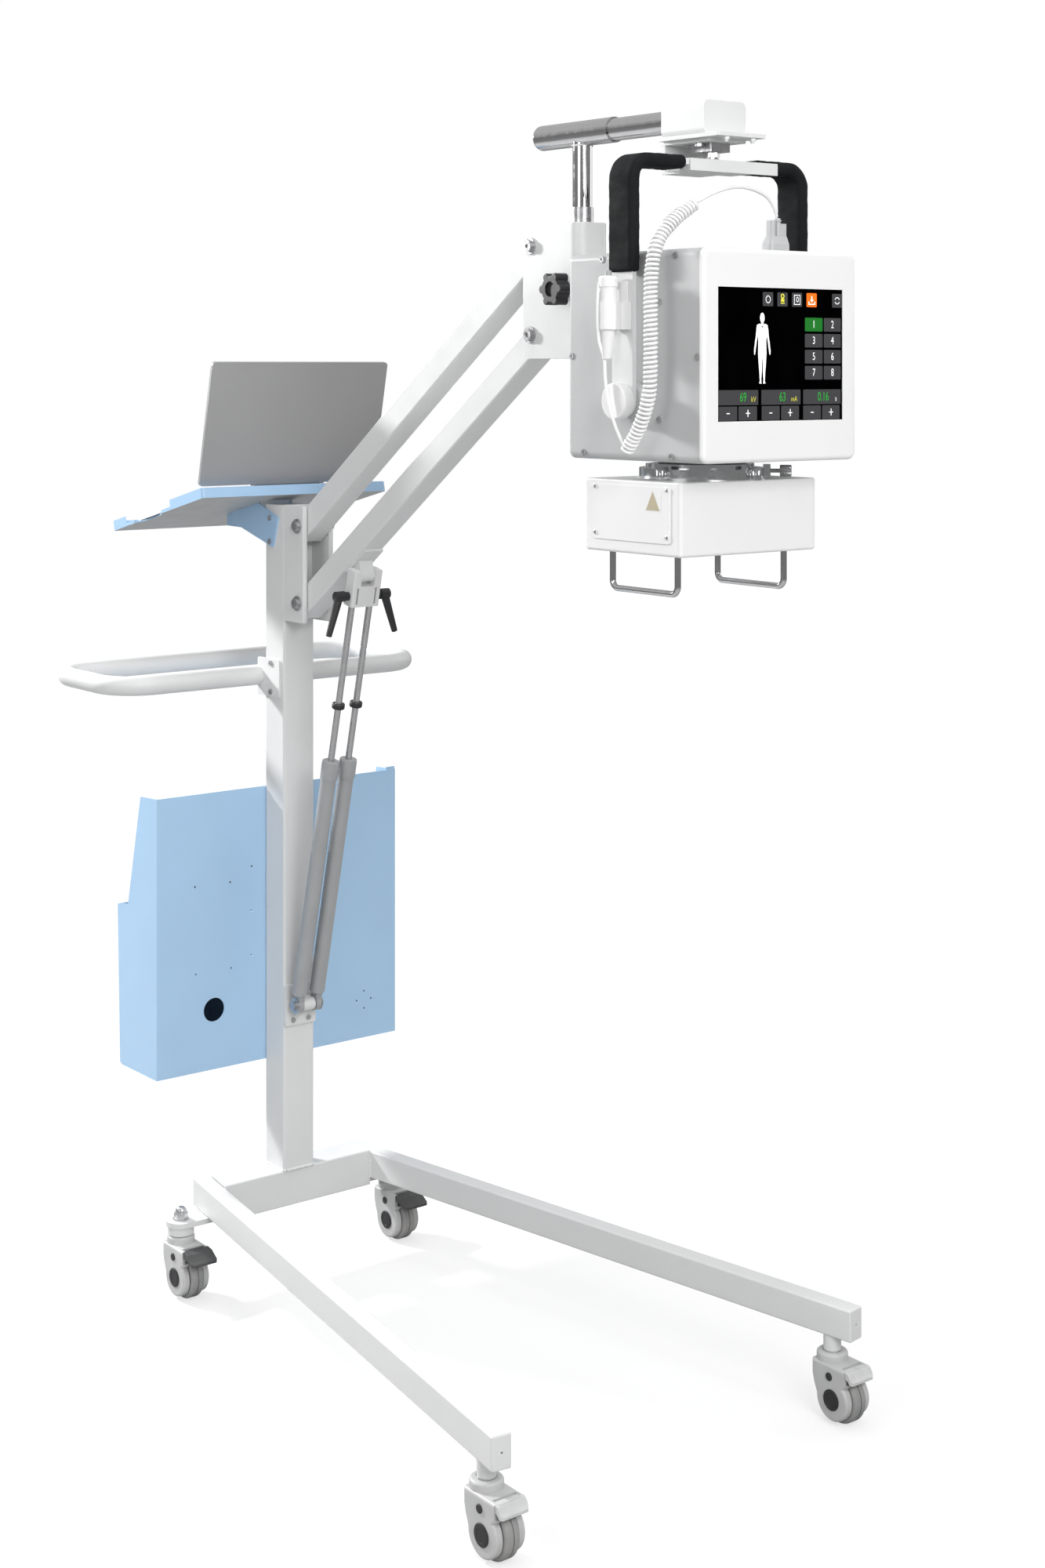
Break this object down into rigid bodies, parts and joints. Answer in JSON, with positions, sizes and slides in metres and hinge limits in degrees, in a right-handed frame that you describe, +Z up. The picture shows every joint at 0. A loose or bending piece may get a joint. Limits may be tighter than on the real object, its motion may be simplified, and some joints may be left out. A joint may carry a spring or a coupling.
{
  "type": "intraoral xray unit",
  "caption": "Mobile x-ray generator with touch screen and collimator in a foam-gripped yoke on a counterbalanced arm, on a caster stand with a detector bin and laptop tray",
  "frame": {"origin": "centre of the bounding box in X and Y, on the floor", "axes": "+X along the legs and the arm towards the head, +Y to the left, +Z up"},
  "size_m": [1.387, 0.6326, 1.747],
  "materials": {
    "white_paint": "gloss",
    "white_plastic": "semi_gloss",
    "case_grey": "satin",
    "blue_paint": "satin",
    "chrome": "mirror",
    "steel": "brushed",
    "aluminium": "satin",
    "black_plastic": "matte",
    "foam": "matte",
    "cylinder_grey": "satin",
    "caster_grey": "satin",
    "tyre_grey": "matte",
    "pedal_grey": "matte",
    "pedal_light": "satin",
    "screen_glass": "gloss",
    "laptop_white": "satin",
    "laptop_silver": "satin",
    "plug_grey": "satin",
    "button_grey": "satin",
    "cord_white": "satin"
  },
  "bodies": {
    "stand": {"base_crossbar": "white_paint", "leg_left": "white_paint", "leg_right": "white_paint", "column": "white_paint", "arm_bracket": "white_paint", "spring_foot": "white_paint", "caster_stems": "steel", "stand_bolts": "steel", "push_handle": "white_paint", "detector_bin": "blue_paint", "laptop_tray": "blue_paint", "laptop_base": "laptop_white"},
    "laptop_lid": {"laptop_lid": "laptop_silver"},
    "upper_arm": {"upper_arm": "white_paint"},
    "lower_arm": {"lower_arm": "white_paint"},
    "spring_head": {"spring_block": "white_paint", "spring_rods": "steel"},
    "clamp_lever_left": {"clamp_lever_left": "black_plastic"},
    "clamp_lever_right": {"clamp_lever_right": "black_plastic"},
    "spring_tail": {"spring_cylinders": "cylinder_grey"},
    "knuckle": {"knuckle_yoke": "white_paint", "knuckle_socket": "white_paint", "knuckle_bolts": "steel"},
    "star_knob": {"star_knob": "black_plastic"},
    "post": {"swivel_post": "chrome"},
    "boom": {"boom_tube": "chrome", "top_bracket": "white_paint"},
    "yoke": {"swivel_stud": "steel", "yoke_frame": "white_paint", "foam_grips": "foam", "tilt_knobs": "white_plastic", "switch_holder": "white_plastic", "hand_switch": "white_plastic", "cord_lead": "cord_white", "cord_coil": "cord_white", "cord_tail": "cord_white"},
    "switch_button": {"switch_button": "button_grey"},
    "head": {"case_body": "case_grey", "front_bezel": "white_plastic", "touch_screen": "screen_glass", "tube_tank": "cylinder_grey", "case_screws": "steel", "cord_plug": "plug_grey"},
    "collimator": {"turntable_ring": "aluminium", "collimator_shell": "white_plastic", "shutter_blades": "cylinder_grey", "guard_rails": "chrome"},
    "thumb_screw": {"thumb_screw": "steel"},
    "caster_front_left": {"caster_front_left_housing": "caster_grey"},
    "wheel_front_left": {"caster_front_left_wheel": "tyre_grey"},
    "pedal_front_left": {"caster_front_left_pedal": "pedal_light"},
    "caster_front_right": {"caster_front_right_housing": "caster_grey"},
    "wheel_front_right": {"caster_front_right_wheel": "tyre_grey"},
    "pedal_front_right": {"caster_front_right_pedal": "pedal_light"},
    "caster_rear_left": {"caster_rear_left_housing": "caster_grey"},
    "wheel_rear_left": {"caster_rear_left_wheel": "tyre_grey"},
    "pedal_rear_left": {"caster_rear_left_pedal": "pedal_grey"},
    "caster_rear_right": {"caster_rear_right_housing": "caster_grey"},
    "wheel_rear_right": {"caster_rear_right_wheel": "tyre_grey"},
    "pedal_rear_right": {"caster_rear_right_pedal": "pedal_grey"}
  },
  "joints": [
    {"name": "arm_lift", "type": "hinge", "parent": "stand", "child": "lower_arm", "pos_m": [-0.3485, 0, 1.05], "axis": [0, -1, 0], "range_deg": [-20, 12]},
    {"name": "arm_lift_upper", "type": "hinge", "parent": "stand", "child": "upper_arm", "pos_m": [-0.3485, 0, 1.17], "axis": [0, -1, 0], "range_deg": [-20, 12]},
    {"name": "knuckle_level", "type": "hinge", "parent": "lower_arm", "child": "knuckle", "pos_m": [0.23801, 0, 1.46068], "axis": [0, -1, 0], "range_deg": [-12, 20]},
    {"name": "spring_head_turn", "type": "hinge", "parent": "lower_arm", "child": "spring_head", "pos_m": [-0.2045, 0, 1.102], "axis": [0, -1, 0], "range_deg": [-10.8, 17.9]},
    {"name": "spring_stroke", "type": "slide", "parent": "spring_head", "child": "spring_tail", "axis": [-0.2311, 0, -0.9729], "range_m": [-0.0459, 0.0275]},
    {"name": "clamp_left_turn", "type": "hinge", "parent": "spring_head", "child": "clamp_lever_left", "pos_m": [-0.21166, 0.03, 1.07184], "axis": [0, 1, 0], "range_deg": [-40, 40]},
    {"name": "clamp_right_turn", "type": "hinge", "parent": "spring_head", "child": "clamp_lever_right", "pos_m": [-0.21166, -0.03, 1.07184], "axis": [0, 1, 0], "range_deg": [-40, 40]},
    {"name": "star_knob_turn", "type": "hinge", "parent": "knuckle", "child": "star_knob", "pos_m": [0.3145, -0.04, 1.52], "axis": [0, 1, 0], "range_deg": [-90, 90]},
    {"name": "post_swivel", "type": "hinge", "parent": "knuckle", "child": "post", "pos_m": [0.3145, 0, 1.55], "axis": [0, 0, 1], "range_deg": [-90, 90]},
    {"name": "boom_roll", "type": "hinge", "parent": "post", "child": "boom", "pos_m": [0.3835, 0, 1.7285], "axis": [1, 0, 0], "range_deg": [-20, 20]},
    {"name": "yoke_swivel", "type": "hinge", "parent": "boom", "child": "yoke", "pos_m": [0.5675, 0, 1.69], "axis": [0, 0, 1], "range_deg": [-90, 90]},
    {"name": "head_tilt", "type": "hinge", "parent": "yoke", "child": "head", "pos_m": [0.5675, 0, 1.376], "axis": [0, 1, 0], "range_deg": [-10, 45]},
    {"name": "collimator_turn", "type": "hinge", "parent": "head", "child": "collimator", "pos_m": [0.5515, 0, 1.29], "axis": [0, 0, 1], "range_deg": [-90, 90]},
    {"name": "thumb_screw_turn", "type": "hinge", "parent": "collimator", "child": "thumb_screw", "pos_m": [0.61514, 0.06364, 1.2878], "axis": [0.7071, 0.7071, 0], "range_deg": [-90, 90]},
    {"name": "switch_press", "type": "slide", "parent": "yoke", "child": "switch_button", "axis": [0, 0, -1], "range_m": [0, 0.003], "stiffness_N_per_m": 300},
    {"name": "laptop_hinge", "type": "hinge", "parent": "stand", "child": "laptop_lid", "pos_m": [-0.42531, 0, 1.22991], "axis": [0, 1, 0], "range_deg": [-112, 10]},
    {"name": "caster_front_left_swivel", "type": "hinge", "parent": "stand", "child": "caster_front_left", "pos_m": [0.4905, 0.29243, 0.08], "axis": [0, 0, 1], "continuous": true},
    {"name": "caster_front_left_roll", "type": "hinge", "parent": "caster_front_left", "child": "wheel_front_left", "pos_m": [0.5105, 0.29243, 0.034], "axis": [0, 1, 0], "continuous": true},
    {"name": "caster_front_left_brake", "type": "hinge", "parent": "caster_front_left", "child": "pedal_front_left", "pos_m": [0.5295, 0.29243, 0.074], "axis": [0, 1, 0], "range_deg": [0, 8]},
    {"name": "caster_front_right_swivel", "type": "hinge", "parent": "stand", "child": "caster_front_right", "pos_m": [0.4905, -0.29243, 0.08], "axis": [0, 0, 1], "continuous": true},
    {"name": "caster_front_right_roll", "type": "hinge", "parent": "caster_front_right", "child": "wheel_front_right", "pos_m": [0.5105, -0.29243, 0.034], "axis": [0, 1, 0], "continuous": true},
    {"name": "caster_front_right_brake", "type": "hinge", "parent": "caster_front_right", "child": "pedal_front_right", "pos_m": [0.5295, -0.29243, 0.074], "axis": [0, 1, 0], "range_deg": [0, 8]},
    {"name": "caster_rear_left_swivel", "type": "hinge", "parent": "stand", "child": "caster_rear_left", "pos_m": [-0.4175, 0.195, 0.08], "axis": [0, 0, 1], "continuous": true},
    {"name": "caster_rear_left_roll", "type": "hinge", "parent": "caster_rear_left", "child": "wheel_rear_left", "pos_m": [-0.3975, 0.195, 0.034], "axis": [0, 1, 0], "continuous": true},
    {"name": "caster_rear_left_brake", "type": "hinge", "parent": "caster_rear_left", "child": "pedal_rear_left", "pos_m": [-0.3785, 0.195, 0.074], "axis": [0, 1, 0], "range_deg": [0, 8]},
    {"name": "caster_rear_right_swivel", "type": "hinge", "parent": "stand", "child": "caster_rear_right", "pos_m": [-0.4175, -0.195, 0.08], "axis": [0, 0, 1], "continuous": true},
    {"name": "caster_rear_right_roll", "type": "hinge", "parent": "caster_rear_right", "child": "wheel_rear_right", "pos_m": [-0.3975, -0.195, 0.034], "axis": [0, 1, 0], "continuous": true},
    {"name": "caster_rear_right_brake", "type": "hinge", "parent": "caster_rear_right", "child": "pedal_rear_right", "pos_m": [-0.3785, -0.195, 0.074], "axis": [0, 1, 0], "range_deg": [0, 8]}
  ],
  "couplings": [
    {"joint": "arm_lift_upper", "follows": "arm_lift", "ratio": 1},
    {"joint": "knuckle_level", "follows": "arm_lift", "ratio": -1},
    {"joint": "spring_head_turn", "follows": "arm_lift", "ratio": -0.892},
    {"joint": "spring_stroke", "follows": "arm_lift", "m_per_rad": 0.131}
  ]
}
